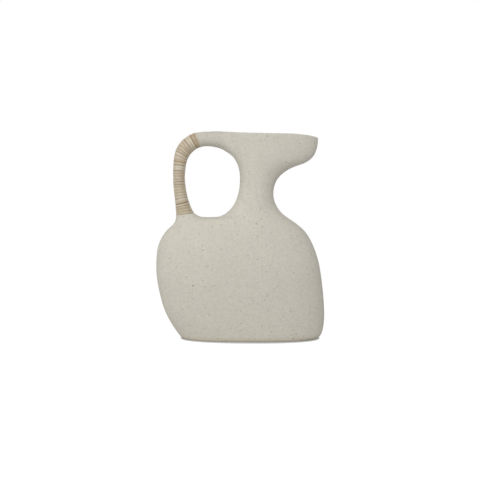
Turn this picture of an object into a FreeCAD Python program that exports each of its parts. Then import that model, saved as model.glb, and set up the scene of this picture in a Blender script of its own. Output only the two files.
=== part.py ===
import FreeCAD, Part
import math
import os
from FreeCAD import Vector

# A flattened stoneware jug: a wide belly with a flat foot, a narrow neck set off
# to the right, a mouth drawn out into one pouring beak, and a bar handle on the
# left whose grip is wound with split cane in two strands.
# The frame is +Z up and +X towards the beak. The origin is on the table, under
# the middle of the jug's width and depth. All sizes are in millimetres.

os.makedirs("parts", exist_ok=True)
doc = FreeCAD.newDocument("StonewareJug")

# Driving sizes: alias, value, what it is
SIZES = [
    ("overall_height", 300.0, "from the table to the top of the handle"),
    ("overall_width", 244.0, "from the left of the belly to its right"),
    ("foot_depth", 72.0, "front to back, just above the table"),
    ("belly_depth", 88.0, "front to back, at the fullest of the belly"),
    ("neck_depth", 44.0, "front to back, at the narrowest of the neck"),
    ("mouth_depth", 49.0, "front to back, at the rim"),
    ("wall_thickness", 5.0, "clay wall"),
    ("floor_thickness", 6.0, "clay slab under the belly"),
    ("floor_corner", 3.0, "how far the cavity draws in where it meets the floor"),
    ("handle_depth", 20.0, "front to back, along the grip"),
    ("cane_thickness", 1.4, "split cane, measured off the grip"),
    ("cane_gap", 0.5, "between one turn of cane and the next"),
    ("cane_clearance", 0.25, "between the cane and the clay"),
    ("cane_proud", 0.3, "how far the cane stands above the bare handle"),
    ("cane_end_run", 1.5, "straight end of each strand"),
    ("shoulder_joint_share", 0.5, "height of the belly's top edge, of the overall height"),
    ("neck_joint_share", 0.603, "height of the shoulder's top edge, of the overall height"),
    ("beak_joint_share", 0.817, "height of the neck's top edge, of the overall height"),
    ("handle_joint_share", -0.221, "where the handle meets the mouth, of half the width"),
    ("wrap_start_share", 0.297, "start of the cane by the mouth, along the handle"),
    ("wrap_joint_share", 0.515, "where one strand ends and the next starts"),
    ("wrap_end_share", 0.888, "end of the cane by the shoulder, along the handle"),
    ("overrun", 5.0, "how far a cutting or sorting body reaches past its work"),
]
UPPER_TURNS = 11
LOWER_TURNS = 18

sheet = doc.addObject("Spreadsheet::Sheet", "sizes")
for row, (alias, value, meaning) in enumerate(SIZES, start=1):
    sheet.set(f"A{row}", alias)
    sheet.set(f"B{row}", str(value))
    sheet.set(f"C{row}", meaning)
    sheet.setAlias(f"B{row}", alias)
doc.recompute()


def size(alias):
    """The value of one named cell of the sheet."""
    return float(sheet.get(alias))


HALF_WIDTH = size("overall_width") / 2
HEIGHT = size("overall_height")

# Rows of the vessel's outline, from the table up. Each row is one slice: its
# left and right ends as shares of half the width and of the height, the named
# depth that it follows and its share of that depth, how far along the slice it
# is deepest, and how full its corners are (an ellipse has 0.55).
VESSEL_SHARES = [
    (-0.700, 0.000, 0.905, 0.000, "foot_depth", 0.93, 0.56, 0.66),
    (-0.724, 0.008, 0.942, 0.008, "foot_depth", 0.98, 0.56, 0.66),
    (-0.755, 0.024, 0.968, 0.024, "foot_depth", 1.02, 0.56, 0.66),
    (-0.808, 0.055, 0.988, 0.055, "foot_depth", 1.06, 0.55, 0.66),
    (-0.862, 0.094, 0.998, 0.094, "belly_depth", 0.905, 0.54, 0.66),
    (-0.911, 0.143, 0.998, 0.143, "belly_depth", 0.938, 0.53, 0.66),
    (-0.953, 0.202, 0.989, 0.202, "belly_depth", 0.970, 0.52, 0.66),
    (-0.983, 0.261, 0.974, 0.261, "belly_depth", 0.993, 0.51, 0.66),
    (-0.999, 0.319, 0.954, 0.319, "belly_depth", 1.000, 0.50, 0.66),
    (-1.000, 0.378, 0.925, 0.378, "belly_depth", 0.989, 0.50, 0.65),
    (-0.986, 0.436, 0.878, 0.436, "belly_depth", 0.950, 0.50, 0.64),
    (-0.937, 0.489, 0.816, 0.489, "belly_depth", 0.891, 0.50, 0.63),
    (-0.876, 0.523, 0.756, 0.523, "belly_depth", 0.836, 0.51, 0.62),
    (-0.813, 0.547, 0.712, 0.540, "belly_depth", 0.795, 0.52, 0.61),
    (-0.742, 0.566, 0.663, 0.556, "belly_depth", 0.755, 0.53, 0.60),
    (-0.646, 0.579, 0.615, 0.570, "belly_depth", 0.709, 0.54, 0.59),
    (-0.528, 0.584, 0.568, 0.583, "neck_depth", 1.33, 0.55, 0.58),
    (-0.397, 0.586, 0.523, 0.596, "neck_depth", 1.255, 0.55, 0.57),
    (-0.284, 0.588, 0.485, 0.610, "neck_depth", 1.19, 0.55, 0.56),
    (-0.201, 0.600, 0.455, 0.624, "neck_depth", 1.13, 0.54, 0.56),
    (-0.127, 0.623, 0.430, 0.640, "neck_depth", 1.08, 0.52, 0.56),
    (-0.070, 0.654, 0.411, 0.656, "neck_depth", 1.045, 0.51, 0.56),
    (-0.029, 0.697, 0.395, 0.676, "neck_depth", 1.02, 0.50, 0.56),
    (-0.007, 0.750, 0.389, 0.704, "neck_depth", 1.00, 0.50, 0.56),
    (-0.012, 0.806, 0.410, 0.749, "neck_depth", 1.00, 0.49, 0.56),
    (-0.046, 0.850, 0.486, 0.793, "neck_depth", 1.015, 0.47, 0.56),
    (-0.083, 0.877, 0.616, 0.826, "mouth_depth", 0.93, 0.44, 0.57),
    (-0.112, 0.910, 0.756, 0.847, "mouth_depth", 0.95, 0.41, 0.58),
    (-0.147, 0.944, 0.856, 0.878, "mouth_depth", 0.97, 0.39, 0.59),
    (-0.182, 0.975, 0.905, 0.924, "mouth_depth", 0.99, 0.38, 0.60),
    (-0.215, 1.004, 0.915, 0.968, "mouth_depth", 1.00, 0.37, 0.60),
    (-0.240, 1.030, 0.915, 1.000, "mouth_depth", 1.00, 0.37, 0.60),
]

# The rim's line seen from the front, as shares of half the width and the height
RIM_SHARES = [
    (-0.350, 0.996), (0.000, 0.990), (0.400, 0.986), (0.700, 0.982), (0.880, 0.972), (1.050, 0.951),
]

# Rows of the handle, from inside the mouth round to inside the shoulder: the
# outer and inner edge as shares of half the width and of the height, and the
# depth as a share of the grip's depth.
HANDLE_SHARES = [
    (-0.053, 0.996, -0.041, 0.850, 1.50),
    (-0.171, 0.999, -0.136, 0.893, 1.30),
    (-0.235, 1.000, -0.219, 0.911, 1.22),
    (-0.300, 1.000, -0.295, 0.920, 1.15),
    (-0.430, 0.998, -0.407, 0.925, 1.06),
    (-0.536, 0.993, -0.486, 0.920, 1.02),
    (-0.630, 0.975, -0.543, 0.907, 1.00),
    (-0.705, 0.949, -0.584, 0.891, 1.00),
    (-0.757, 0.917, -0.615, 0.872, 1.00),
    (-0.785, 0.878, -0.634, 0.850, 1.00),
    (-0.796, 0.831, -0.646, 0.823, 1.00),
    (-0.798, 0.781, -0.656, 0.783, 1.00),
    (-0.790, 0.728, -0.648, 0.731, 1.00),
    (-0.777, 0.673, -0.624, 0.681, 1.01),
    (-0.767, 0.632, -0.592, 0.641, 1.05),
    (-0.765, 0.599, -0.547, 0.609, 1.15),
    (-0.775, 0.570, -0.445, 0.582, 1.40),
    (-0.837, 0.535, -0.303, 0.545, 1.80),
]

Y_AXIS = Vector(0, 1, 0)
ROUND_SHARE = 4 * (math.sqrt(2) - 1) / 3


def unit(vector):
    """A copy of a vector with length one."""
    return Vector(vector).normalize()


def at_shares(x_share, z_share):
    """A point of the front view, from its shares of half the width and the height."""
    return Vector(x_share * HALF_WIDTH, 0, z_share * HEIGHT)


def bezier(*poles):
    """One Bezier edge through its poles."""
    curve = Part.BezierCurve()
    curve.setPoles(list(poles))
    return curve.toShape()


def slice_wire(left, right, half_depth, deepest_share, fullness_share):
    """A closed slice of the vessel, of four quarters, from its left end to its right end."""
    deepest = left + (right - left) * deepest_share
    left_run = deepest - left
    right_run = right - deepest
    front = deepest - Y_AXIS * half_depth
    back = deepest + Y_AXIS * half_depth
    bulge = Y_AXIS * (half_depth * fullness_share)
    return Part.Wire([
        bezier(left, left - bulge, front - left_run * fullness_share, front),
        bezier(front, front + right_run * fullness_share, right - bulge, right),
        bezier(right, right + bulge, back + right_run * fullness_share, back),
        bezier(back, back - left_run * fullness_share, left + bulge, left),
    ])


def inward(points, index, side):
    """The direction into the clay at one point of a side of the outline."""
    before = points[max(index - 1, 0)]
    after = points[min(index + 1, len(points) - 1)]
    along = unit(after - before)
    return Vector(along.z, 0, -along.x) * side


def vessel_rows():
    """The vessel's slices as left end, right end, half depth, deepest share and fullness."""
    rows = []
    for left_x, left_z, right_x, right_z, depth, depth_share, deepest, fullness in VESSEL_SHARES:
        half_depth = size(depth) / 2 * depth_share
        rows.append((at_shares(left_x, left_z), at_shares(right_x, right_z), half_depth, deepest, fullness))
    return rows


def cavity_rows(rows):
    """The vessel's slices drawn in by the wall, with a floor slice under them."""
    wall = size("wall_thickness")
    floor = size("floor_thickness")
    corner = size("floor_corner")
    lefts = [row[0] for row in rows]
    rights = [row[1] for row in rows]
    above = next(i for i, left in enumerate(lefts) if left.z > floor)
    low, high = rows[above - 1], rows[above]
    share = (floor - low[0].z) / (high[0].z - low[0].z)
    drawn_in = Vector(wall + corner, 0, 0)
    floor_left = low[0] * (1 - share) + high[0] * share + drawn_in
    floor_right = low[1] * (1 - share) + high[1] * share - drawn_in
    floor_half_depth = low[2] * (1 - share) + high[2] * share - wall - corner
    inside = [(floor_left, floor_right, floor_half_depth, high[3], high[4])]
    for i, (left, right, half_depth, deepest, fullness) in enumerate(rows):
        inner_left = left + inward(lefts, i, 1) * wall
        inner_right = right + inward(rights, i, -1) * wall
        if min(inner_left.z, inner_right.z) > floor + corner:
            inside.append((inner_left, inner_right, half_depth - wall, deepest, fullness))
    return inside


def add_shape(name, shape):
    """A document object that holds a free-form shape worked out from the sheet."""
    feature = doc.addObject("Part::Feature", name)
    feature.Shape = shape
    feature.Placement = FreeCAD.Placement()
    return feature


def loft(wires):
    """A smooth solid through closed wires."""
    return Part.makeLoft(wires, True, False)


# The vessel, its cavity and what is cut away above the rim
outside_rows = vessel_rows()
outer_clay = add_shape("outer_clay", loft([slice_wire(*row) for row in outside_rows]))
cavity = add_shape("cavity", loft([slice_wire(*row) for row in cavity_rows(outside_rows)]))


def above_rim():
    """Everything over the rim's line, as deep as the jug and past it."""
    rim = Part.BSplineCurve()
    rim.interpolate([at_shares(*shares) for shares in RIM_SHARES])
    start, end = rim.StartPoint, rim.EndPoint
    top = max(row[0].z for row in outside_rows) + size("overrun")
    corners = [end, Vector(end.x, 0, top), Vector(start.x, 0, top), start]
    sides = [Part.LineSegment(a, b).toShape() for a, b in zip(corners, corners[1:])]
    face = Part.Face(Part.Wire([rim.toShape()] + sides))
    reach = size("mouth_depth") / 2 + size("overrun")
    face.translate(Y_AXIS * -reach)
    return face.extrude(Y_AXIS * (reach * 2))


rim_cutter = add_shape("rim_cutter", above_rim())


class HandleLine:
    """The handle as rings along its own length, each an ellipse in a plane across it."""

    def __init__(self):
        outer = [at_shares(row[0], row[1]) for row in HANDLE_SHARES]
        inner = [at_shares(row[2], row[3]) for row in HANDLE_SHARES]
        middle = [(a + b) * 0.5 for a, b in zip(outer, inner)]
        self.places = [0.0]
        for a, b in zip(middle, middle[1:]):
            self.places.append(self.places[-1] + (b - a).Length)
        half_depths = [size("handle_depth") / 2 * row[4] for row in HANDLE_SHARES]
        depth_points = [Vector(place, half, 0) for place, half in zip(self.places, half_depths)]
        self.outer = self.through(outer)
        self.inner = self.through(inner)
        self.half_depth = self.through(depth_points)

    def through(self, points):
        """A smooth curve that passes each point at its place along the handle."""
        curve = Part.BSplineCurve()
        curve.interpolate(Points=points, Parameters=self.places)
        return curve

    def ring(self, place, offset):
        """Centre, outward direction and half sizes of the ring at a place."""
        outer = self.outer.value(place)
        inner = self.inner.value(place)
        half = (outer - inner) * 0.5
        return inner + half, unit(half), half.Length + offset, self.half_depth.value(place).y + offset

    def point(self, place, angle, offset):
        """A point on the ring, at an angle from its outer edge."""
        centre, outward, half_width, half_depth = self.ring(place, offset)
        return centre + outward * (half_width * math.cos(angle)) + Y_AXIS * (half_depth * math.sin(angle))

    def wire(self, place, offset):
        """The ring as a closed wire of four quarters."""
        centre, outward, half_width, half_depth = self.ring(place, offset)
        spokes = [outward * half_width, Y_AXIS * -half_depth, outward * -half_width, Y_AXIS * half_depth]
        quarters = []
        for here, there in zip(spokes, spokes[1:] + spokes[:1]):
            poles = [here, here + there * ROUND_SHARE, there + here * ROUND_SHARE, there]
            quarters.append(bezier(*[centre + pole for pole in poles]))
        return Part.Wire(quarters)

    def body(self, start, end, offset):
        """A solid along the handle, with a ring at each row and half way to the next."""
        halfway = [(a + b) / 2 for a, b in zip(self.places, self.places[1:])]
        between = [place for place in self.places + halfway if start < place < end]
        return loft([self.wire(place, offset) for place in sorted([start, end] + between)])


handle_line = HandleLine()
HANDLE_LENGTH = handle_line.places[-1]
WRAP_START = HANDLE_LENGTH * size("wrap_start_share")
WRAP_JOINT = HANDLE_LENGTH * size("wrap_joint_share")
WRAP_END = HANDLE_LENGTH * size("wrap_end_share")
RECESS = size("cane_thickness") + size("cane_clearance") - size("cane_proud")

# The grip is drawn in where the cane lies, so that the cane ends up level with
# the bare clay beside it
bare_handle = add_shape("bare_handle", handle_line.body(0, HANDLE_LENGTH, 0))
slim_handle = add_shape("slim_handle", handle_line.body(0, HANDLE_LENGTH, -RECESS))
wrap_zone = add_shape("wrap_zone", handle_line.body(WRAP_START, WRAP_END, size("overrun")))


def combine(kind, name, base, tool):
    """A boolean of two document objects, kept as a feature."""
    feature = doc.addObject(f"Part::{kind}", name)
    feature.Base = base
    feature.Tool = tool
    return feature


seat_ring = combine("Cut", "seat_ring", wrap_zone, slim_handle)
handle_clay = combine("Cut", "handle_clay", bare_handle, seat_ring)
trimmed_clay = combine("Cut", "trimmed_clay", outer_clay, rim_cutter)
joined_clay = combine("Fuse", "joined_clay", trimmed_clay, handle_clay)
fired_clay = combine("Cut", "fired_clay", joined_clay, cavity)

# The clay is luted together from members, which meet at these heights and at
# this place along the width
LEFT_END = "-sizes.overall_width"
RIGHT_END = "sizes.overall_width"
HANDLE_JOINT = "sizes.overall_width / 2 * sizes.handle_joint_share"
TABLE = "-sizes.overrun"
FLOOR_TOP = "sizes.floor_thickness"
SHOULDER_JOINT = "sizes.overall_height * sizes.shoulder_joint_share"
NECK_JOINT = "sizes.overall_height * sizes.neck_joint_share"
BEAK_JOINT = "sizes.overall_height * sizes.beak_joint_share"
TOP = "sizes.overall_height * 1.1"


def member(name, x_from, x_to, z_from, z_to):
    """One clay member: what the fired clay has between two ends and two heights."""
    zone = doc.addObject("Part::Box", f"{name}_zone")
    zone.setExpression("Length", f"({x_to}) - ({x_from})")
    zone.setExpression("Width", "sizes.overall_width")
    zone.setExpression("Height", f"({z_to}) - ({z_from})")
    zone.setExpression("Placement.Base.x", x_from)
    zone.setExpression("Placement.Base.y", "-sizes.overall_width / 2")
    zone.setExpression("Placement.Base.z", z_from)
    return combine("Common", name, fired_clay, zone)


members = [
    member("foot_slab", LEFT_END, RIGHT_END, TABLE, FLOOR_TOP),
    member("belly_wall", LEFT_END, RIGHT_END, FLOOR_TOP, SHOULDER_JOINT),
    member("shoulder_wall", LEFT_END, RIGHT_END, SHOULDER_JOINT, NECK_JOINT),
    member("neck_collar", HANDLE_JOINT, RIGHT_END, NECK_JOINT, BEAK_JOINT),
    member("pouring_beak", HANDLE_JOINT, RIGHT_END, BEAK_JOINT, TOP),
    member("handle", LEFT_END, HANDLE_JOINT, NECK_JOINT, TOP),
]


class CaneStrand:
    """Split cane wound round the grip in a steady climb, edge to edge with a gap."""

    QUARTERS = 4
    SAMPLES = 24

    def __init__(self, start, end, turns):
        self.turns = turns
        self.pitch = (end - start) / (turns + 1)
        self.first_place = start + self.pitch / 2
        self.lift = size("cane_clearance") + size("cane_thickness") / 2 - RECESS

    def place(self, angle):
        """How far along the handle the strand is after an angle of winding."""
        return self.first_place + self.pitch * angle / math.tau

    def point(self, angle):
        """The middle of the cane after an angle of winding."""
        return handle_line.point(self.place(angle), angle, self.lift)

    def tangent(self, angle):
        """The direction that the cane runs in, from the points close by."""
        step = math.tau / 10000
        return unit(self.point(angle + step) - self.point(angle - step))

    def to_next(self, angle):
        """The step on the handle's skin from half way to the turn before to half way to the next."""
        place = self.place(angle)
        before = handle_line.point(place - self.pitch / 2, angle, self.lift)
        after = handle_line.point(place + self.pitch / 2, angle, self.lift)
        return after - before

    def width(self, angle):
        """The cane's width: the room between its neighbours, less the gap."""
        return self.to_next(angle).Length - size("cane_gap")

    def frame(self, angle):
        """Directions along the cane, across it and off the clay, square to each other."""
        along = self.tangent(angle)
        off_clay = unit(along.cross(self.to_next(angle)))
        return along, off_clay.cross(along), off_clay

    def section(self, angle, shift=0.0):
        """The cane's cut end: flat faces with rounded edges."""
        along, across, off_clay = self.frame(angle)
        middle = self.point(angle) + along * shift
        radius = size("cane_thickness") / 2
        reach = self.width(angle) / 2 - radius
        lift = off_clay * radius
        one, other = middle + across * reach, middle - across * reach
        return Part.Wire([
            Part.LineSegment(one + lift, other + lift).toShape(),
            Part.Arc(other + lift, other - across * radius, other - lift).toShape(),
            Part.LineSegment(other - lift, one - lift).toShape(),
            Part.Arc(one - lift, one + across * radius, one + lift).toShape(),
        ])

    def arcs(self, start, end):
        """Two tangent arcs from one angle of winding to another."""
        p_start, p_end = self.point(start), self.point(end)
        t_start, t_end = self.tangent(start), self.tangent(end)
        chord, tangents = p_end - p_start, t_start + t_end
        spread = 2 * (1 - t_start.dot(t_end))
        lean = chord.dot(tangents)
        reach = (math.sqrt(lean * lean + spread * chord.dot(chord)) - lean) / spread
        meet = (p_start + t_start * reach + p_end - t_end * reach) * 0.5
        return [self.arc(p_start, t_start, meet), self.arc(meet, unit(meet - p_start - t_start * reach), p_end)]

    @staticmethod
    def arc(start, tangent, end):
        """The arc that leaves one point along a tangent and ends at another."""
        chord = end - start
        way = unit(chord)
        half_turn = math.acos(min(1.0, tangent.dot(way)))
        sideways = unit(tangent - way * tangent.dot(way))
        rise = chord.Length / 2 * math.tan(half_turn / 2)
        return Part.Arc(start, (start + end) * 0.5 + sideways * rise, end)

    def swept(self, spine, sections):
        """The faces of a pipe shell along a spine, from one section to the other."""
        pipe = Part.BRepOffsetAPI.MakePipeShell(Part.Wire(spine))
        for section in sections:
            pipe.add(section)
        pipe.build()
        return pipe.shape().Faces

    def end_run(self, angle, direction):
        """The straight run past one end of the winding, with its cut end."""
        run = size("cane_end_run") * direction
        here, there = self.section(angle), self.section(angle, run)
        line = Part.LineSegment(self.point(angle), self.point(angle) + self.tangent(angle) * run)
        return self.swept([line.toShape()], [here, there]) + [Part.Face(there)]

    def solid(self):
        """The whole strand, as one unbroken solid."""
        steps = self.turns * self.QUARTERS
        angles = [math.tau * k / self.QUARTERS for k in range(steps + 1)]
        faces = self.end_run(angles[0], -1) + self.end_run(angles[-1], 1)
        self.least_radius = math.inf
        for start, end in zip(angles, angles[1:]):
            arcs = [arc.toShape() for arc in self.arcs(start, end)]
            self.least_radius = min([self.least_radius] + [arc.Curve.Radius for arc in arcs])
            faces += self.swept(arcs, [self.section(start), self.section(end)])
        skin = Part.makeCompound(faces)
        skin.sewShape()
        return Part.makeSolid(skin.Shells[0])

    def edge_points(self, angle):
        """Points round the cane's section, at its corners and its two rounded edges."""
        _, across, off_clay = self.frame(angle)
        middle = self.point(angle)
        half_width = self.width(angle) / 2
        radius = size("cane_thickness") / 2
        slant = math.sqrt(0.5)
        points = []
        for side in (-1, 1):
            rim = middle + across * (side * (half_width - radius))
            for out, up in ((0, 1), (slant, slant), (1, 0), (slant, -slant), (0, -1)):
                points.append(rim + across * (side * radius * out) + off_clay * (radius * up))
        return points

    def least_gap(self):
        """The least distance between points of one turn and points of the next."""
        count = self.turns * self.SAMPLES
        rings = [self.edge_points(math.tau * k / self.SAMPLES) for k in range(count + 1)]
        least = math.inf
        for here in range(count + 1 - self.SAMPLES):
            for there in range(here + self.SAMPLES - 1, min(here + self.SAMPLES + 2, count + 1)):
                pairs = ((a, b) for a in rings[here] for b in rings[there])
                least = min(least, min((a - b).Length for a, b in pairs))
        return least


def add_strand(name, start, end, turns):
    """One strand of cane as a sub-part, with its measures printed."""
    strand = CaneStrand(start, end, turns)
    feature = add_shape(name, strand.solid())
    print(f"{name}: {turns} turns, least gap {strand.least_gap():.2f}, least radius {strand.least_radius:.1f}")
    return feature


strands = [
    add_strand("cane_winding_upper", WRAP_START, WRAP_JOINT, UPPER_TURNS),
    add_strand("cane_winding_lower", WRAP_JOINT, WRAP_END, LOWER_TURNS),
]

doc.recompute()

failed = [item.Name for item in doc.Objects if "Invalid" in item.State or "Error" in item.State]
if failed:
    raise RuntimeError("objects that did not recompute: " + ", ".join(failed))
sub_parts = members + strands
for item in sub_parts:
    if item.Shape.isNull() or not item.Shape.isValid() or len(item.Shape.Solids) != 1:
        raise RuntimeError(f"{item.Label} is not one valid solid")
for item in sub_parts:
    item.Shape.exportStep(f"parts/{item.Label}.step")
    print(f"{item.Label}: {item.Shape.Volume:.0f} cubic mm")
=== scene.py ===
import math
import random

import bmesh
import bpy
import numpy as np
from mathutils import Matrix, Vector, noise


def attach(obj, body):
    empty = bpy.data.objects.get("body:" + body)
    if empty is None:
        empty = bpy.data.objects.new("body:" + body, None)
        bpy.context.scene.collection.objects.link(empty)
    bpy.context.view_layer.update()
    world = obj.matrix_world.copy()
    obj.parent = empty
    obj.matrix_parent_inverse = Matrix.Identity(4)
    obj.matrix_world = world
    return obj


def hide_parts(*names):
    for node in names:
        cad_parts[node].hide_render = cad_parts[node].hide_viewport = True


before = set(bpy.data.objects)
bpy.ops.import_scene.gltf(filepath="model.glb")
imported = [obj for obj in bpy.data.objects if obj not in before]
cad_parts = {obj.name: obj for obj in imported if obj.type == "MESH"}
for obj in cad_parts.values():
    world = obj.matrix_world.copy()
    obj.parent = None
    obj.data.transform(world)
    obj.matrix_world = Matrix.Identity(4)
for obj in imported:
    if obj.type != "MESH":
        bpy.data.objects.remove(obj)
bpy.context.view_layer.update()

# The looks of a flattened stoneware jug: one fired body of pale, speckled, matte
# clay, and a grip wound with split cane in two strands. Lengths are in metres,
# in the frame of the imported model: +Z up and +X towards the pouring beak.
# Colours are the 0 to 255 numbers of a screen.

# The camera of the photograph: it looks along +Y, pitched down
CAMERA_PLACE = (-0.0007, -1.194, 0.2239)
CAMERA_PITCH = math.radians(3.87)
CAMERA_LENS_MM = 61.9
CAMERA_SENSOR_MM = 36.0

# The clay body
CLAY_NODES = ("foot_slab", "belly_wall", "shoulder_wall", "neck_collar", "pouring_beak", "handle")
WELD_REACH = 1e-7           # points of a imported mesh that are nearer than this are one
LUTING_OVERLAP = 0.00003    # how far each member is swollen, so that they fuse
CLAY_VOXEL = 0.0011         # size of the cells that the fused body is rebuilt from
CLAY_FACES = 190_000        # triangles kept in the end
SPONGE_ROUNDS = 8           # rounds of smoothing, which round every edge as a wet sponge does
SPONGE_FACTOR = 0.5         # how far one round moves a point to the middle of its neighbours

# At the table the clay is rounded less and has no waves. Both come in over a height of
# FOOT_LEVEL, from these shares of it upwards
FOOT_LEVEL = 0.006
SPONGE_START_SHARE = 0.5
WAVES_START_SHARE = 0.2
# The edge on the table gets this much of the rounding right of the second place, and
# all of it left of the first
FOOT_SPONGE_SHARE = 0.25
FOOT_CORNER = (-0.088, -0.066)

# The unevenness that a hand leaves: length and height of each wave. The first starts
# at this origin in the noise, and each next one is shifted from there
HAND_WAVES = (
    (0.050, 0.00028),
    (0.016, 0.00007),
)
WAVE_ORIGIN = Vector((0.0, 3.0, 5.0))
WAVE_SHIFT = Vector((17.0, 0.0, 0.0))

# The foot's left end is drawn in by this much, in full below the first height and
# left of the first place, and not at all above or right of the second
FOOT_DRAWN = 0.0012
FOOT_DRAWN_HEIGHTS = (0.020, 0.050)
FOOT_DRAWN_PLACES = (-0.080, -0.040)

# Beside the handle the rim is drawn up to the handle's top. The rise comes in over a
# short step round its first place and fades to nothing at its last
RIM_RISE = 0.0009
RIM_RISE_FROM = -0.0200
RIM_RISE_TO = -0.001
RIM_STEP_BEFORE = 0.0001
RIM_STEP_AFTER = 0.0010
RIM_RISE_ABOVE = 0.286      # the rise comes in upwards from here
RIM_RISE_OVER = 0.011       # over this height
RIM_EASE = 0.0007           # more of the same right beside the handle
RIM_EASE_TO = -0.0145

# Where clay is pressed into the crease between two members: the middle and the
# reach of each place, and a point inside the jug that its outer skin faces away from
CREASES = (
    ((-0.024, 0.0, 0.286), (0.034, 0.045, 0.040), (0.030, 0.0, 0.262)),
    ((-0.056, 0.0, 0.174), (0.026, 0.040, 0.020), (-0.050, 0.0, 0.140)),
)
CREASE_ROUNDS = 12          # rounds of filling, each with fresh normals
CREASE_STEPS = 25           # small steps in a round
CREASE_PULL = 0.8           # how far a step takes a point to the middle of its neighbours
CREASE_FADE = 2             # the filling fades over the outer half of a reach, one part in this many

# The clay's look: its colour, and soft random waves with their length, their detail
# and the roughness of that detail
CLAY_COLOUR = (206, 202, 190)
CLAY_WAVES = {
    "clouds": (0.035, 3.0, 0.5),
    "mottle": (0.0042, 2.0, 0.6),
    "grain": (0.0018, 3.0, 0.65),
    "pores": (0.0006, 2.0, 0.5),
}
# Tones over it: the waves that each one follows, at which of their values it comes
# in and at which it is full, and its colour
CLAY_TONES = (
    ("clouds", 0.3, 0.7, (209, 205, 193)),
    ("mottle", 0.62, 0.36, (203, 198, 186)),
    ("grain", 0.55, 0.75, (219, 216, 206)),
    ("grain", 0.46, 0.22, (186, 181, 168)),
)
# Painted shade on the bare stretch of the handle, which darkens it: where along X and how high
PAINTED_HANDLE_SHADE_COLOUR = (185, 180, 169)
PAINTED_HANDLE_SHADE_STRENGTH = 0.45
PAINTED_HANDLE_SHADE_PLACES = (-0.008, -0.030)
PAINTED_HANDLE_SHADE_HEIGHTS = (0.258, 0.280)
# The edge on the table, browner towards the ground
TABLE_EDGE_COLOUR = (196, 182, 158)
TABLE_EDGE_STRENGTH = 0.5
TABLE_EDGE_HEIGHTS = (0.007, 0.0005)
# Faint and dark specks: the size of the cells that they are scattered in, the share of
# the cells with one, their largest radius, how strong they are, and their colour
CLAY_SPECKS = (
    (0.0046, 0.62, 0.0017, 0.33, (150, 143, 128)),
    (0.0075, 0.10, 0.0019, 0.60, (104, 94, 80)),
)
SPECK_SOFT_SHARE = 0.25     # the soft edge of a speck, of its largest radius
SPECK_GROUPS = 0.016        # how far apart the loose groups of specks are
# Inside a group more of the cells have a speck, and between groups fewer: the share is
# multiplied by the groups' noise times the first number, less the second
SPECK_CROWDING = 2.4
SPECK_THINNING = 0.2
CLAY_PORES = 0.5            # how deep the pores are, against the grain
CLAY_BUMP = 0.35            # strength and depth of the relief
CLAY_BUMP_DEPTH = 0.00025
CLAY_ROUGHNESS = 0.86
CLAY_SPECULAR = 0.35

# The handle as part.py has it: outer and inner edge seen from the front, as shares
# of half the width and of the height, and its depth as a share of the grip's depth
HALF_WIDTH = 0.122
HEIGHT = 0.300
GRIP_DEPTH = 0.020
HANDLE_SHARES = np.array([
    (-0.053, 0.996, -0.041, 0.850, 1.50),
    (-0.171, 0.999, -0.136, 0.893, 1.30),
    (-0.235, 1.000, -0.219, 0.911, 1.22),
    (-0.300, 1.000, -0.295, 0.920, 1.15),
    (-0.430, 0.998, -0.407, 0.925, 1.06),
    (-0.536, 0.993, -0.486, 0.920, 1.02),
    (-0.630, 0.975, -0.543, 0.907, 1.00),
    (-0.705, 0.949, -0.584, 0.891, 1.00),
    (-0.757, 0.917, -0.615, 0.872, 1.00),
    (-0.785, 0.878, -0.634, 0.850, 1.00),
    (-0.796, 0.831, -0.646, 0.823, 1.00),
    (-0.798, 0.781, -0.656, 0.783, 1.00),
    (-0.790, 0.728, -0.648, 0.731, 1.00),
    (-0.777, 0.673, -0.624, 0.681, 1.01),
    (-0.767, 0.632, -0.592, 0.641, 1.05),
    (-0.765, 0.599, -0.547, 0.609, 1.15),
    (-0.775, 0.570, -0.445, 0.582, 1.40),
    (-0.837, 0.535, -0.303, 0.545, 1.80),
])
# How much slimmer the handle is all round than its member: shares of its length, and
# the amount at each. The drawing in fades over these distances above its skin
SLIM_SHARES = (0.045, 0.10, 0.60, 0.68, 0.85, 0.91, 0.965)
SLIMMED = (0.0, 0.0006, 0.0006, 0.0003, 0.0003, 0.0006, 0.0)
SLIM_SAMPLES = 240          # places along the handle that a point is compared with
SLIM_FADE = (0.001, 0.006)
# Between the cane and the mouth the handle lies a little higher than its member:
# from nothing to full between the first two places, and back between the last two
BARE_LIFT = 0.0003
BARE_LIFT_PLACES = (-0.058, -0.050, -0.034, -0.0215)
BARE_LIFT_HEIGHTS = (0.24, 0.26)

# The winding, along the handle: from the mouth, over the joint of the strands, to
# the shoulder
WRAP_SHARES = (0.287, 0.515, 0.892)
UPPER_TURNS = 11
LOWER_TURNS = 19

# A strip of cane
CANE_SEED = 7
CANE_STEPS = 64             # rings of the strip's mesh in one turn
CANE_TOP = 0.00045          # how far the crown of a strip stands above the bare handle
CANE_EDGE = 0.00008         # and its two edges
CANE_BOTTOM = -0.00110      # its underside, which lies in the drawn-in grip
CANE_GAP = 0.00006          # left open between one turn and the next
CANE_ACROSS_SHARES = (0.0, 0.10, 0.25, 0.42, 0.58, 0.75, 0.90, 1.0)   # points over its crown
CANE_CROWN_POWER = 3.2      # how square the crown's shoulders are: 2 is a half ellipse
CANE_UNDER_SHARE = 0.92     # breadth of its underside
CANE_UNDER_SINK = 0.3       # how much the underside follows when the strip rises or sinks
CANE_TUCK_TURNS = 0.16      # how much of a turn narrows and sinks at each end of a strand
CANE_TUCK_SINK = 0.0007     # how far it sinks there
CANE_TUCK_WIDTH = 0.55      # and how much of its width is left
CANE_UNEVEN_PLACE = 0.00018 # how far a turn strays along the grip
CANE_UNEVEN_LIFT = 0.00005  # how much one turn stands above another
CANE_START_SHARE = 0.25     # a strand starts at the back, this share of a turn from the outer edge
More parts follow.
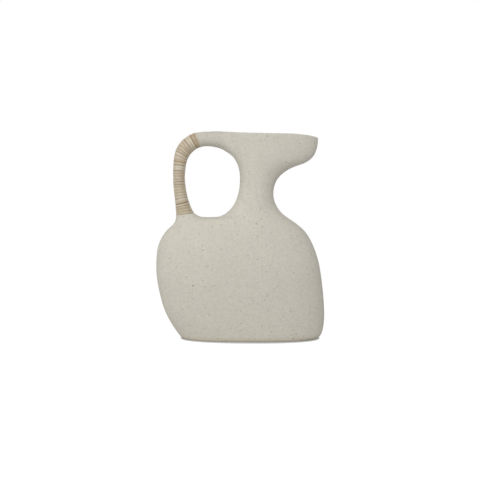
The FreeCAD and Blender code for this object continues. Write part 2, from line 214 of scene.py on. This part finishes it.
CANE_BLEND_SHARE = 0.2      # share of a turn over which it takes over from the last one's values
CANE_AHEAD_SHARE = 0.01     # share of a turn over which the strip's direction is measured

# How far a turn runs ahead at the grip's outer edge, and behind at its inner edge:
# after how many turns, and how far
UPPER_LEANS = (
    (0, 0.0), (0.5, 0.0004), (1.2, 0.0009), (3, 0.0006), (7, 0.0003), (9, 0.0), (11, 0.0005),
)
LOWER_LEANS = (
    (0, 0.0005), (2.5, -0.0007), (9, -0.0008), (12, 0.0), (15, 0.0005), (17, 0.0003), (19, -0.0004),
)

# How brown a turn is, 0 for pale and 1 for brown. A plain turn's value is drawn at random
UPPER_BROWN = {0: 0.65, 1: 0.85, 5: 0.3, 7: 0.42, 10: 0.75}
LOWER_BROWN = {3: 0.35, 4: 0.3, 6: 0.32, 8: 0.4, 14: 0.55, 16: 0.35, 17: 0.3, 18: 0.34}
PLAIN_BROWN = (-0.05, 0.22)
# How dark the seam after a turn is, 0 to 1. A faint seam's value is drawn at random
UPPER_SEAMS = {0: 0.5, 1: 0.35, 2: 0.4, 3: 0.35, 4: 0.45, 5: 0.4, 7: 0.6, 9: 0.3}
LOWER_SEAMS = {0: 0.4, 2: 0.4, 3: 0.6, 6: 1.0, 7: 0.35, 11: 0.5, 14: 1.0, 15: 0.9}
FAINT_SEAM = (0.0, 0.3)

# The cane's look. Fibres and blotches run along the strip: waves in a metre of its
# length, and waves across its breadth
FIBRES_PER_METRE = 22.0
FIBRES_ACROSS = 6.0
BLOTCHES_PER_METRE = 28.0
CANE_DETAIL = 2.0
CANE_PALE = (203, 193, 171)
CANE_STRAW = (190, 177, 152)
CANE_FIBRE = (175, 158, 129)
CANE_DARK_BROWN = (142, 116, 82)
CANE_LIGHT_BROWN = (177, 152, 118)
CANE_SEAM = (118, 96, 71)
STRAW_VALUES = (0.35, 0.7)  # at which values of the blotches straw comes in and is full
FIBRE_VALUES = (0.50, 0.30) # at which values of the fibres they show
BROWN_VALUES = (0.3, 0.7)   # and at which the brown turns from dark to light
BROWN_ACROSS = (0.10, 0.42) # where across a strip its brown comes in and is full
SEAM_ACROSS = (0.70, 0.90)  # and the dark of its seam
CANE_ROUGHNESS = (0.30, 0.50)
CANE_SPECULAR = 0.7
CANE_BUMP = 0.3             # strength and depth of the fibres
CANE_BUMP_DEPTH = 0.0002

# The studio: soft lamps, each with its place and its power in watts, and an even fill
WORLD_FILL = 0.43
SOFTBOX_SIZE = 0.9
SOFTBOX_TARGET = (0, 0, 0.15)
SOFTBOXES = {
    "front_top": ((0.0, -1.2, 1.3), 10.4),
    "front_left": ((-1.3, -1.3, 0.5), 4.1),
    "top_left": ((-0.9, -0.6, 1.3), 2.0),
    "left": ((-1.6, -0.4, 0.6), 1.0),
}
FLOOR_REACH = 6.0
FLOOR_GLOW = 0.94           # the floor as it is seen: white that glows,
FLOOR_PAPER = 0.16          # and a little matte paper that takes the lamps' light
FLOOR_MATTE = 0.82          # the floor as the jug is lit by it

# The foot's shade on the floor
SHADE_COLOUR = (60, 60, 58)
SHADE_SAMPLES = 16
SHADE_REACH = 0.0145        # how far it reaches, in front and behind
SHADE_AT_ENDS = 0.003       # and at the foot's two ends
SHADE_END_POWER = 2.0       # how it goes from one to the other along the foot
SHADE_BROAD_POWER = 0.6
FOOT_MIDDLE = 0.0145        # the foot's middle and half its length, along X
FOOT_HALF = 0.0995
# It is gathered from the half sphere round a direction that leans over to the jug: this
# much up and this much along Y, which changes its sign under the jug at so much a metre
SHADE_UP = 0.6
SHADE_TO_JUG = 0.8
SHADE_TURN = -50.0

# The curve between a screen's numbers and light
SCREEN_WHITE = 255
CURVE_KNEE = 0.04045        # below it the curve is a straight line
CURVE_SLOPE = 12.92
CURVE_OFFSET = 0.055
CURVE_POWER = 2.4

WHITE = (1.0, 1.0, 1.0, 1.0)
TINY = 1e-6                 # keeps a division off zero and a strand's end in its last turn


# Small helpers

def new_object(name, mesh):
    """An object at the origin with a mesh whose points are already in place."""
    piece = bpy.data.objects.new(name, mesh)
    bpy.context.scene.collection.objects.link(piece)
    return piece


def apply_modifiers(piece):
    """Puts the result of a piece's modifiers into its mesh."""
    graph = bpy.context.evaluated_depsgraph_get()
    mesh = bpy.data.meshes.new_from_object(piece.evaluated_get(graph))
    piece.modifiers.clear()
    piece.data = mesh


def points_of(mesh):
    """A mesh's points, one row each."""
    points = np.empty(len(mesh.vertices) * 3, np.float32)
    mesh.vertices.foreach_get("co", points)
    return points.reshape(-1, 3)


def set_points(mesh, points):
    """Moves a mesh's points to these rows."""
    mesh.vertices.foreach_set("co", points.astype(np.float32).ravel())
    mesh.update()


def shade_smooth(mesh):
    """Smooth shading on every face."""
    mesh.polygons.foreach_set("use_smooth", np.ones(len(mesh.polygons), bool))


def smooth_step(values, low, high):
    """0 below low and 1 above high, with soft ends."""
    share = np.clip((values - low) / (high - low), 0.0, 1.0)
    return share * share * (3 - 2 * share)


def colour(red, green, blue):
    """A screen's colour as the light that it gives."""
    shares = [value / SCREEN_WHITE for value in (red, green, blue)]
    linear = [
        share / CURVE_SLOPE if share <= CURVE_KNEE
        else ((share + CURVE_OFFSET) / (1 + CURVE_OFFSET)) ** CURVE_POWER
        for share in shares
    ]
    return (*linear, 1.0)


def grey(level):
    """A plain grey, as the share of the light that it gives back."""
    return (level, level, level, 1.0)


class Nodes:
    """A material's or world's node tree, with short calls to add to it."""

    def __init__(self, owner):
        owner.use_nodes = True
        self.tree = owner.node_tree
        self.tree.nodes.clear()

    def feed(self, socket, value):
        """Sets an input to a value, or links it to another node's output."""
        if isinstance(value, bpy.types.NodeSocket):
            self.tree.links.new(value, socket)
        else:
            socket.default_value = value

    def add(self, kind, settings=None, **inputs):
        """A node of a kind; each input is a value or another node's output."""
        node = self.tree.nodes.new(kind)
        for name, value in (settings or {}).items():
            setattr(node, name, value)
        for name, value in inputs.items():
            self.feed(node.inputs[name.replace("_", " ")], value)
        return node

    def join(self, kind, first, second, **inputs):
        """Two shaders added or mixed, whose inputs come last in the node."""
        node = self.add(kind, **inputs)
        self.feed(node.inputs[-2], first.outputs[0])
        self.feed(node.inputs[-1], second.outputs[0])
        return node

    def math(self, operation, *values):
        """The result of a sum, product or comparison."""
        node = self.add("ShaderNodeMath", {"operation": operation})
        for socket, value in zip(node.inputs, values):
            self.feed(socket, value)
        return node.outputs[0]

    def mix(self, factor, a, b):
        """A colour between a and b."""
        node = self.add("ShaderNodeMix", {"data_type": "RGBA"})
        for name, kind, value in (("Factor", "VALUE", factor), ("A", "RGBA", a), ("B", "RGBA", b)):
            self.feed(next(s for s in node.inputs if (s.name, s.type) == (name, kind)), value)
        return next(s for s in node.outputs if s.type == "RGBA")

    def tint(self, shade, tone, where, strength):
        """A shade with a tone over it, in some strength, where a value is near 1."""
        return self.mix(self.math("MULTIPLY", where, strength), shade, colour(*tone))

    def between(self, value, low, high):
        """0 at low and 1 at high, with soft ends."""
        soft = {"interpolation_type": "SMOOTHSTEP"}
        return self.add("ShaderNodeMapRange", soft, Value=value, From_Min=low, From_Max=high).outputs[0]

    def noise(self, where, wave, detail=2.0, roughness=0.5):
        """A soft random value, with waves of about this length."""
        shape = {"Scale": 1 / wave, "Detail": detail, "Roughness": roughness}
        return self.add("ShaderNodeTexNoise", Vector=where, **shape).outputs["Fac"]


# Materials

def specks(nodes, where, cell, share, radius):
    """Small round grains of another clay, in loose groups: 1 inside a grain and 0 outside."""
    cells = nodes.add("ShaderNodeTexVoronoi", Vector=where, Scale=1 / cell)
    draw = nodes.add("ShaderNodeSeparateColor", Color=cells.outputs["Color"])
    size = nodes.math("MULTIPLY", draw.outputs[1], radius / cell)
    inside = nodes.math("SUBTRACT", size, cells.outputs["Distance"])
    grain = nodes.between(inside, 0.0, SPECK_SOFT_SHARE * radius / cell)
    groups = nodes.noise(where, SPECK_GROUPS, detail=1.0)
    crowd = nodes.math("MULTIPLY_ADD", groups, SPECK_CROWDING * share, -SPECK_THINNING * share)
    chosen = nodes.math("LESS_THAN", draw.outputs[0], crowd)
    return nodes.math("MULTIPLY", grain, chosen)


def stoneware():
    """Matte off-white stoneware with brown-grey specks."""
    material = bpy.data.materials.new("stoneware")
    nodes = Nodes(material)
    place = nodes.add("ShaderNodeTexCoord").outputs["Object"]
    axes = nodes.add("ShaderNodeSeparateXYZ", Vector=place)
    waves = {name: nodes.noise(place, *shape) for name, shape in CLAY_WAVES.items()}
    shade = colour(*CLAY_COLOUR)
    for name, comes_in, full, tone in CLAY_TONES:
        shade = nodes.mix(nodes.between(waves[name], comes_in, full), shade, colour(*tone))
    # Painted shade: the bare stretch of the handle near its top is darkened in the colour, in place of the
    # shading that falls there
    on_handle = nodes.between(axes.outputs["X"], *PAINTED_HANDLE_SHADE_PLACES)
    painted_handle_shade = nodes.math("MULTIPLY", on_handle, nodes.between(axes.outputs["Z"], *PAINTED_HANDLE_SHADE_HEIGHTS))
    shade = nodes.tint(shade, PAINTED_HANDLE_SHADE_COLOUR, painted_handle_shade, PAINTED_HANDLE_SHADE_STRENGTH)
    table_edge = nodes.between(axes.outputs["Z"], *TABLE_EDGE_HEIGHTS)
    shade = nodes.tint(shade, TABLE_EDGE_COLOUR, table_edge, TABLE_EDGE_STRENGTH)
    for cell, share, radius, strength, tone in CLAY_SPECKS:
        shade = nodes.tint(shade, tone, specks(nodes, place, cell, share, radius), strength)
    relief = nodes.math("ADD", waves["grain"], nodes.math("MULTIPLY", waves["pores"], CLAY_PORES))
    bump = nodes.add("ShaderNodeBump", Strength=CLAY_BUMP, Distance=CLAY_BUMP_DEPTH, Height=relief)
    shader = nodes.add(
        "ShaderNodeBsdfPrincipled", Base_Color=shade, Roughness=CLAY_ROUGHNESS,
        Specular_IOR_Level=CLAY_SPECULAR, Normal=bump.outputs[0],
    )
    nodes.add("ShaderNodeOutputMaterial", Surface=shader.outputs[0])
    return material


def split_cane():
    """Satin split cane: pale and straw coloured with brown strips, and fibres along it."""
    material = bpy.data.materials.new("split_cane")
    nodes = Nodes(material)
    strip = nodes.add("ShaderNodeUVMap", {"uv_map": "along_and_across"}).outputs[0]
    axes = nodes.add("ShaderNodeSeparateXYZ", Vector=strip)
    along, across = axes.outputs["X"], axes.outputs["Y"]
    fibre_place = nodes.add(
        "ShaderNodeCombineXYZ",
        X=nodes.math("MULTIPLY", along, FIBRES_PER_METRE), Y=nodes.math("MULTIPLY", across, FIBRES_ACROSS),
    )
    fibres = nodes.noise(fibre_place.outputs[0], 1.0, CANE_DETAIL)
    blotch_place = nodes.add(
        "ShaderNodeCombineXYZ", X=nodes.math("MULTIPLY", along, BLOTCHES_PER_METRE), Y=across,
    )
    blotches = nodes.noise(blotch_place.outputs[0], 1.0, CANE_DETAIL)
    brownness = nodes.add("ShaderNodeAttribute", {"attribute_name": "brownness"}).outputs["Fac"]
    seam = nodes.add("ShaderNodeAttribute", {"attribute_name": "seam"}).outputs["Fac"]
    pale = nodes.mix(nodes.between(blotches, *STRAW_VALUES), colour(*CANE_PALE), colour(*CANE_STRAW))
    pale = nodes.mix(nodes.between(fibres, *FIBRE_VALUES), pale, colour(*CANE_FIBRE))
    lighter = nodes.between(fibres, *BROWN_VALUES)
    brown = nodes.mix(lighter, colour(*CANE_DARK_BROWN), colour(*CANE_LIGHT_BROWN))
    browned = nodes.math("MULTIPLY", brownness, nodes.between(across, *BROWN_ACROSS))
    shade = nodes.mix(browned, pale, brown)
    shade = nodes.tint(shade, CANE_SEAM, nodes.between(across, *SEAM_ACROSS), seam)
    bump = nodes.add("ShaderNodeBump", Strength=CANE_BUMP, Distance=CANE_BUMP_DEPTH, Height=fibres)
    smooth, rough = CANE_ROUGHNESS
    roughness = nodes.add("ShaderNodeMapRange", Value=fibres, To_Min=smooth, To_Max=rough)
    shader = nodes.add(
        "ShaderNodeBsdfPrincipled", Base_Color=shade, Roughness=roughness.outputs[0],
        Specular_IOR_Level=CANE_SPECULAR, Normal=bump.outputs[0],
    )
    nodes.add("ShaderNodeOutputMaterial", Surface=shader.outputs[0])
    return material


# The handle's line, which the clay and the cane both follow

class HandleLine:
    """The handle as rings along its own length, each an ellipse in a plane across it."""

    def __init__(self):
        self.rows = HANDLE_SHARES * (HALF_WIDTH, HEIGHT, HALF_WIDTH, HEIGHT, GRIP_DEPTH / 2)
        middles = (self.rows[:, 0:2] + self.rows[:, 2:4]) / 2
        steps = np.linalg.norm(np.diff(middles, axis=0), axis=1)
        self.places = np.concatenate(([0.0], np.cumsum(steps)))
        self.length = self.places[-1]
        self.slopes = np.gradient(self.rows, self.places, axis=0)

    def row(self, place):
        """The table's row at any place, on a smooth curve through its rows."""
        i = min(max(int(np.searchsorted(self.places, place)) - 1, 0), len(self.places) - 2)
        run = self.places[i + 1] - self.places[i]
        t = (place - self.places[i]) / run
        start, end = self.rows[i], self.rows[i + 1]
        leave, arrive = self.slopes[i] * run, self.slopes[i + 1] * run
        return (
            start * (2 * t**3 - 3 * t**2 + 1) + end * (3 * t**2 - 2 * t**3)
            + leave * (t**3 - 2 * t**2 + t) + arrive * (t**3 - t**2)
        )

    def slimmed(self, place):
        """How far the skin is drawn in at a place."""
        return float(np.interp(place / self.length, SLIM_SHARES, SLIMMED))

    def point(self, place, angle, lift):
        """A point over the ring at a place, at an angle from its outer edge."""
        outer_x, outer_z, inner_x, inner_z, half_depth = self.row(place)
        lift -= self.slimmed(place)
        half = Vector((outer_x - inner_x, 0, outer_z - inner_z)) / 2
        centre = Vector((inner_x, 0, inner_z)) + half
        half_width = half.length
        reach = half.normalized() * ((half_width + lift) * math.cos(angle))
        return centre + reach + Vector((0, (half_depth + lift) * math.sin(angle), 0))


# The clay body

def swollen_copy(name):
    """A copy of one packed member, swollen a little along its normals."""
    work = bmesh.new()
    work.from_mesh(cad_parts[name].data)
    bmesh.ops.remove_doubles(work, verts=work.verts, dist=WELD_REACH)
    work.normal_update()
    for point in work.verts:
        point.co += point.normal * LUTING_OVERLAP
    mesh = bpy.data.meshes.new(name + "_swollen")
    work.to_mesh(mesh)
    work.free()
    return new_object(name + "_swollen", mesh)


def fused_clay():
    """The clay members as one closed body with no seams."""
    members = [swollen_copy(name) for name in CLAY_NODES]
    body = members[0]
    body.name = "fired_clay"
    for other in members[1:]:
        fuse = body.modifiers.new("fuse", "BOOLEAN")
        fuse.operation = "UNION"
        fuse.solver = "MANIFOLD"
        fuse.object = other
    apply_modifiers(body)
    for other in members[1:]:
        bpy.data.objects.remove(other)
    return body


def rebuild_in_cells(body):
    """Rebuilds the body's mesh in small, even cells."""
    cells = body.modifiers.new("cells", "REMESH")
    cells.mode = "VOXEL"
    cells.voxel_size = CLAY_VOXEL
    apply_modifiers(body)


def sponge_edges(body):
    """Rounds every edge, and most of the edge on the table only a little."""
    before = points_of(body.data)
    sponge = body.modifiers.new("sponge", "SMOOTH")
    sponge.factor = SPONGE_FACTOR
    sponge.iterations = SPONGE_ROUNDS
    apply_modifiers(body)
    height = np.clip(before[:, 2:] / FOOT_LEVEL - SPONGE_START_SHARE, 0.0, 1.0)
    left, right = FOOT_CORNER
    height = np.maximum(height, np.clip((right - before[:, :1]) / (right - left), 0.0, 1.0))
    share = FOOT_SPONGE_SHARE + (1 - FOOT_SPONGE_SHARE) * height
    set_points(body.data, before + (points_of(body.data) - before) * share)


def draw_in_foot(mesh):
    """Draws in the left end of the foot, which stands a little further right than its member's."""
    points = points_of(mesh)
    low = 1 - smooth_step(points[:, 2], *FOOT_DRAWN_HEIGHTS)
    left = 1 - smooth_step(points[:, 0], *FOOT_DRAWN_PLACES)
    points[:, 0] += FOOT_DRAWN * low * left
    set_points(mesh, points)


def raise_rim(mesh):
    """Draws the rim up to the top of the handle, so that the line of the top has no step."""
    points = points_of(mesh)
    along, height = points[:, 0], points[:, 2]
    beside = smooth_step(along, RIM_RISE_FROM - RIM_STEP_BEFORE, RIM_RISE_FROM + RIM_STEP_AFTER)
    fading = 1 - smooth_step(along, RIM_RISE_FROM, RIM_RISE_TO)
    easing = 1 - smooth_step(along, RIM_RISE_FROM, RIM_EASE_TO)
    near_top = smooth_step(height, RIM_RISE_ABOVE, RIM_RISE_ABOVE + RIM_RISE_OVER)
    points[:, 2] += (RIM_RISE * fading + RIM_EASE * easing) * beside * near_top
    set_points(mesh, points)


def slim_handle(mesh):
    """Draws the handle's skin in towards its middle line, and lifts its bare stretch."""
    line = HandleLine()
    places = np.linspace(0, line.length, SLIM_SAMPLES)
    rows = np.array([line.row(place) for place in places])
    middles = np.zeros((len(rows), 3))
    middles[:, ::2] = (rows[:, 0:2] + rows[:, 2:4]) / 2
    radii = np.maximum(np.linalg.norm(rows[:, 0:2] - rows[:, 2:4], axis=1) / 2, rows[:, 4])
    amounts = np.array([line.slimmed(place) for place in places])
    points = points_of(mesh).astype(float)
    low, high = middles.min(axis=0) - radii.max(), middles.max(axis=0) + radii.max()
    for number in np.flatnonzero(((points > low) & (points < high)).all(axis=1)):
        away = points[number] - middles
        far = np.linalg.norm(away, axis=1)
        k = int(np.argmin(far))
        near = 1 - smooth_step(far[k] - radii[k], *SLIM_FADE)
        points[number] -= away[k] / max(far[k], TINY) * (amounts[k] * near)
    start, full, still_full, end = BARE_LIFT_PLACES
    bare = smooth_step(points[:, 0], start, full) * (1 - smooth_step(points[:, 0], still_full, end))
    points[:, 2] += BARE_LIFT * bare * smooth_step(points[:, 2], *BARE_LIFT_HEIGHTS)
    set_points(mesh, points)


def crease_shares(points, out):
    """How much each point takes part in the filling: 1 in a crease's middle, 0 inside the jug."""
    share = np.zeros(len(points))
    for middle, reach, inside in CREASES:
        off = np.linalg.norm((points - middle) / reach, axis=1)
        outer = ((points - inside) * out).sum(axis=1) > 0
        share = np.maximum(share, np.clip(CREASE_FADE * (1 - off), 0, 1) * outer)
    return share


def fill_creases(mesh):
    """Lets the outer skin rise where two members meet in a crease, and nowhere sink."""
    points = points_of(mesh).astype(float)
    ends = np.empty(len(mesh.edges) * 2, np.int32)
    mesh.edges.foreach_get("vertices", ends)
    ends = ends.reshape(-1, 2)
    normals = np.empty(len(points) * 3, np.float32)
    for _ in range(CREASE_ROUNDS):
        mesh.vertex_normals.foreach_get("vector", normals)
        out = normals.reshape(-1, 3)
        share = crease_shares(points, out)
        moved = np.flatnonzero(share > 0)
        near = ends[(share[ends] > 0).any(axis=1)]
        both = np.concatenate((near, near[:, ::-1]))
        count = np.bincount(both[:, 0], minlength=len(points))[moved][:, None]
        for _ in range(CREASE_STEPS):
            sums = [np.bincount(both[:, 0], points[both[:, 1], axis], len(points)) for axis in range(3)]
            pull = np.stack(sums, axis=1)[moved] / count - points[moved]
            rise = np.maximum((pull * out[moved]).sum(axis=1), 0) * share[moved] * CREASE_PULL
            points[moved] += out[moved] * rise[:, None]
        set_points(mesh, points)


def thin_out(body):
    """Takes the mesh, whose faces are two triangles each, down to CLAY_FACES triangles."""
    thin = body.modifiers.new("thin", "DECIMATE")
    thin.ratio = CLAY_FACES / (2 * len(body.data.polygons))
    apply_modifiers(body)


def hand_wave(point):
    """How far the clay stands out at a point, from the hand that smoothed it."""
    total = 0.0
    for number, (length, height) in enumerate(HAND_WAVES):
        total += noise.noise(point / length + WAVE_SHIFT * number + WAVE_ORIGIN) * height
    return total * min(1.0, max(0.0, point.z / FOOT_LEVEL - WAVES_START_SHARE))


def make_uneven(mesh):
    """Gives the skin the waves that a hand leaves."""
    skin = [(point.co.copy(), point.normal.copy()) for point in mesh.vertices]
    uneven = [place + normal * hand_wave(place) for place, normal in skin]
    set_points(mesh, np.array(uneven))


def make_clay():
    """The jug's body: fused, rebuilt in even cells, its edges rounded and its skin uneven."""
    body = fused_clay()
    rebuild_in_cells(body)
    sponge_edges(body)
    draw_in_foot(body.data)
    raise_rim(body.data)
    slim_handle(body.data)
    fill_creases(body.data)
    thin_out(body)
    make_uneven(body.data)
    shade_smooth(body.data)
    body.data.materials.clear()
    body.data.materials.append(stoneware())
    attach(body, "root")
    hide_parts(*CLAY_NODES)


# The cane on the grip

class Strand:
    """One strand of cane, wound in a steady climb with small unevenness from turn to turn."""

    def __init__(self, line, start, end, turns, leans, brown, seams, seed):
        self.line = line
        self.turns = turns
        self.leans = leans
        self.pitch = (end - start) / turns
        self.start = start
        draw = random.Random(seed)
        knots = range(turns + 2)
        self.stray = [draw.uniform(-1, 1) * CANE_UNEVEN_PLACE for _ in knots]
        self.rise = [draw.uniform(-1, 1) * CANE_UNEVEN_LIFT for _ in knots]
        self.brownness = [max(brown.get(k, 0.0), draw.uniform(*PLAIN_BROWN)) for k in knots]
        self.seams = [max(seams.get(k, 0.0), draw.uniform(*FAINT_SEAM)) for k in knots]

    def at_turn(self, values, turn):
        """A turn's own value, which takes over from the last one's at the back of the grip."""
        here = min(max(turn, 0.0), self.turns - TINY)
        k = int(here)
        share = float(smooth_step(here - k, 0.0, CANE_BLEND_SHARE))
        return values[max(k - 1, 0)] * (1 - share) + values[k] * share

    def tuck(self, turn):
        """0 along the strand and 1 at its cut ends, where it goes under its neighbour."""
        from_end = min(turn, self.turns - turn) / CANE_TUCK_TURNS
        return max(0.0, 1.0 - from_end) ** 2

    def lean(self, turn, angle):
        """How far ahead the strand runs at this angle because its turns lean."""
        turns, leans = zip(*self.leans)
        return float(np.interp(turn, turns, leans)) * math.cos(angle)

    def seat(self, turn):
        """The strip's middle on the clay, its whole breadth and its direction off the clay."""
        angle = math.tau * (turn + CANE_START_SHARE)
        lean = self.lean(turn, angle)
        place = self.start + self.pitch * turn + self.at_turn(self.stray, turn) + lean
        to_last = (self.pitch + lean - self.lean(turn - 1, angle)) / 2
        to_next = (self.pitch + self.lean(turn + 1, angle) - lean) / 2
        before = self.line.point(place - to_last, angle, 0.0)
        after = self.line.point(place + to_next, angle, 0.0)
        here = self.line.point(place, angle, 0.0)
        next_place, next_angle = place + self.pitch * CANE_AHEAD_SHARE, angle + math.tau * CANE_AHEAD_SHARE
        ahead = self.line.point(next_place, next_angle, 0.0)
        across = after - before
        off_clay = (ahead - here).cross(across).normalized()
        return here, across, off_clay

    def ring(self, turn):
        """The points round the strip's section after some turns."""
        here, across, off_clay = self.seat(turn)
        tuck = self.tuck(turn)
        width = (across.length - CANE_GAP) * (1 - (1 - CANE_TUCK_WIDTH) * tuck)
        sink = self.at_turn(self.rise, turn) - CANE_TUCK_SINK * tuck
        across.normalize()
        points = []
        for share in CANE_ACROSS_SHARES:
            side = 2 * share - 1
            crown = (1 - abs(side) ** CANE_CROWN_POWER) ** 0.5
            level = CANE_EDGE + (CANE_TOP - CANE_EDGE) * crown + sink
            points.append(here + across * (side * width / 2) + off_clay * level)
        under = CANE_BOTTOM + sink * CANE_UNDER_SINK
        for side in (CANE_UNDER_SHARE, -CANE_UNDER_SHARE):
            points.append(here + across * (side * width / 2) + off_clay * under)
        return points


def skin_of(rings):
    """A closed mesh over rings of points that follow each other."""
    around = len(rings[0])
    points = [tuple(point) for ring in rings for point in ring]
    faces = []
    for k in range(len(rings) - 1):
        for j in range(around):
            here, there = k * around + j, k * around + (j + 1) % around
            faces.append((here, there, there + around, here + around))
    faces.append(tuple(range(around)))
    faces.append(tuple(reversed(range(len(points) - around, len(points)))))
    mesh = bpy.data.meshes.new("strip")
    mesh.from_pydata(points, [], faces)
    work = bmesh.new()
    work.from_mesh(mesh)
    bmesh.ops.recalc_face_normals(work, faces=work.faces)
    work.to_mesh(mesh)
    work.free()
    return mesh


def make_strand(name, strand, material):
    """A strand, with its length and breadth as a UV map and its colour from turn to turn."""
    turns = [k / CANE_STEPS for k in range(strand.turns * CANE_STEPS + 1)]
    rings = [strand.ring(turn) for turn in turns]
    around = len(rings[0])
    mesh = skin_of(rings)
    mesh.name = name
    middles = [sum(ring, Vector()) / around for ring in rings]
    run = [0.0]
    for last, this in zip(middles, middles[1:]):
        run.append(run[-1] + (this - last).length)
    across = (*CANE_ACROSS_SHARES, 1.0, 0.0)
    uv = mesh.uv_layers.new(name="along_and_across")
    for corner in mesh.loops:
        number, side = divmod(corner.vertex_index, around)
        uv.data[corner.index].uv = (run[number], across[side])
    for attribute, values in (("brownness", strand.brownness), ("seam", strand.seams)):
        layer = mesh.attributes.new(attribute, "FLOAT", "POINT")
        along = [strand.at_turn(values, turn) for turn in turns]
        layer.data.foreach_set("value", np.repeat(along, around).astype(np.float32))
    shade_smooth(mesh)
    mesh.materials.append(material)
    return new_object(name, mesh)


def make_cane():
    """Both strands of the winding."""
    line = HandleLine()
    start, joint, end = (line.length * share for share in WRAP_SHARES)
    material = split_cane()
    upper = Strand(line, start, joint, UPPER_TURNS, UPPER_LEANS, UPPER_BROWN, UPPER_SEAMS, CANE_SEED)
    lower = Strand(line, joint, end, LOWER_TURNS, LOWER_LEANS, LOWER_BROWN, LOWER_SEAMS, CANE_SEED + 1)
    for name, node, strand in (
        ("upper_strand", "cane_winding_upper", upper),
        ("lower_strand", "cane_winding_lower", lower),
    ):
        piece = make_strand(name, strand, material)
        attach(piece, "root")
        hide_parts(node)


# The studio

def seen_directly(nodes):
    """1 for rays from the camera, a reflection or a transmission, and 0 for the light itself."""
    path = nodes.add("ShaderNodeLightPath")
    seen = nodes.math("MAXIMUM", path.outputs["Is Camera Ray"], path.outputs["Is Glossy Ray"])
    return nodes.math("MAXIMUM", seen, path.outputs["Is Transmission Ray"])


def shade_reach(nodes, along):
    """How far the foot's shade reaches, from its least at the foot's ends to its most between them."""
    off_middle = nodes.math("MULTIPLY", nodes.math("SUBTRACT", along, FOOT_MIDDLE), 1 / FOOT_HALF)
    at_end = nodes.math("POWER", nodes.math("ABSOLUTE", off_middle), SHADE_END_POWER)
    inside = nodes.math("MAXIMUM", nodes.math("SUBTRACT", 1.0, at_end), 0.0)
    broad = nodes.math("POWER", inside, SHADE_BROAD_POWER)
    more = nodes.math("MULTIPLY", broad, SHADE_REACH - SHADE_AT_ENDS)
    return nodes.math("ADD", SHADE_AT_ENDS, more)


def white_floor():
    """A white floor that keeps a tight shadow where the foot meets it."""
    material = bpy.data.materials.new("white_floor")
    nodes = Nodes(material)
    place = nodes.add("ShaderNodeNewGeometry").outputs["Position"]
    axes = nodes.add("ShaderNodeSeparateXYZ", Vector=place)
    side = nodes.math("MINIMUM", nodes.math("MULTIPLY", axes.outputs["Y"], SHADE_TURN), SHADE_TO_JUG)
    side = nodes.math("MAXIMUM", side, -SHADE_TO_JUG)
    to_jug = nodes.add("ShaderNodeCombineXYZ", Y=side, Z=SHADE_UP)
    near = nodes.add(
        "ShaderNodeAmbientOcclusion", {"samples": SHADE_SAMPLES},
        Distance=shade_reach(nodes, axes.outputs["X"]), Normal=to_jug.outputs[0],
    )
    white = nodes.mix(near.outputs["AO"], colour(*SHADE_COLOUR), WHITE)
    glow = nodes.add("ShaderNodeEmission", Color=white, Strength=FLOOR_GLOW)
    paper = nodes.add("ShaderNodeBsdfDiffuse", Color=grey(FLOOR_PAPER))
    matte = nodes.add("ShaderNodeBsdfDiffuse", Color=grey(FLOOR_MATTE))
    lit = nodes.join("ShaderNodeAddShader", glow, paper)
    both = nodes.join("ShaderNodeMixShader", matte, lit, Fac=seen_directly(nodes))
    nodes.add("ShaderNodeOutputMaterial", Surface=both.outputs[0])
    return material


def make_floor():
    """The floor, far larger than the jug."""
    corners = [(x * FLOOR_REACH, y * FLOOR_REACH, 0) for x, y in ((-1, -1), (1, -1), (1, 1), (-1, 1))]
    mesh = bpy.data.meshes.new("studio_floor")
    mesh.from_pydata(corners, [], [(0, 1, 2, 3)])
    floor = new_object("studio_floor", mesh)
    mesh.materials.append(white_floor())


def make_softbox(name, place, power):
    """A square lamp that faces the middle of the jug."""
    lamp = bpy.data.lights.new(name, "AREA")
    lamp.size = SOFTBOX_SIZE
    lamp.energy = power
    holder = bpy.data.objects.new(name, lamp)
    holder.location = place
    holder.rotation_euler = (Vector(SOFTBOX_TARGET) - Vector(place)).to_track_quat("-Z", "Y").to_euler()
    bpy.context.scene.collection.objects.link(holder)


def make_world():
    """White behind everything, and an even fill light."""
    world = bpy.data.worlds.new("studio")
    nodes = Nodes(world)
    level = nodes.add("ShaderNodeMapRange", Value=seen_directly(nodes), To_Min=WORLD_FILL)
    sky = nodes.add("ShaderNodeBackground", Color=WHITE, Strength=level.outputs[0])
    nodes.add("ShaderNodeOutputWorld", Surface=sky.outputs[0])
    bpy.context.scene.world = world


def make_camera():
    """The photograph's camera."""
    lens = bpy.data.cameras.new("photo_camera")
    lens.lens = CAMERA_LENS_MM
    lens.sensor_width = CAMERA_SENSOR_MM
    camera = bpy.data.objects.new("photo_camera", lens)
    camera.location = CAMERA_PLACE
    camera.rotation_euler = (math.pi / 2 - CAMERA_PITCH, 0, 0)
    bpy.context.scene.collection.objects.link(camera)
    bpy.context.scene.camera = camera


make_clay()
make_cane()
make_floor()
make_world()
for name, (place, power) in SOFTBOXES.items():
    make_softbox(name, place, power)
make_camera()
bpy.context.scene.view_settings.view_transform = "Standard"
